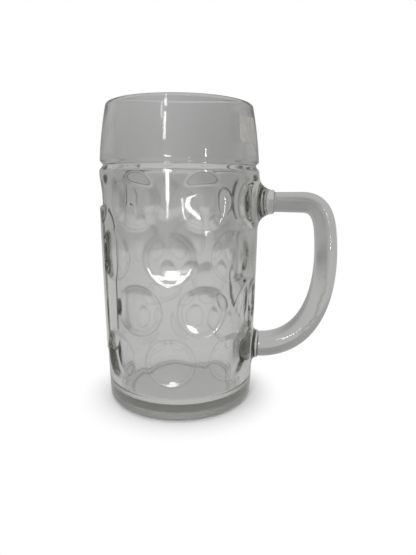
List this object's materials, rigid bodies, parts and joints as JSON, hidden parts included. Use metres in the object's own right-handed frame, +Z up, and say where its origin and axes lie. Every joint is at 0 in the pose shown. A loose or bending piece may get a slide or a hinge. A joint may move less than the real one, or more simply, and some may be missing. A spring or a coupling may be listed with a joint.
{
  "type": "glass beer mug",
  "caption": "Tall dimpled glass beer mug with a plain barrel-shaped rim band, a thick foot, a bar handle and a small blank paper sticker.",
  "frame": {"origin": "on the table, under the middle of the footprint of mug and handle together", "axes": "+Z up along the mug's axis, +X from the mug's axis towards the handle, +Y across the handle"},
  "size_m": [0.1622, 0.1072, 0.2],
  "materials": {
    "clear_glass": "polished",
    "sticker_paper": "matte"
  },
  "bodies": {
    "root": {"mug_body": "clear_glass", "handle": "clear_glass", "rim_label": "sticker_paper"}
  },
  "joints": []
}
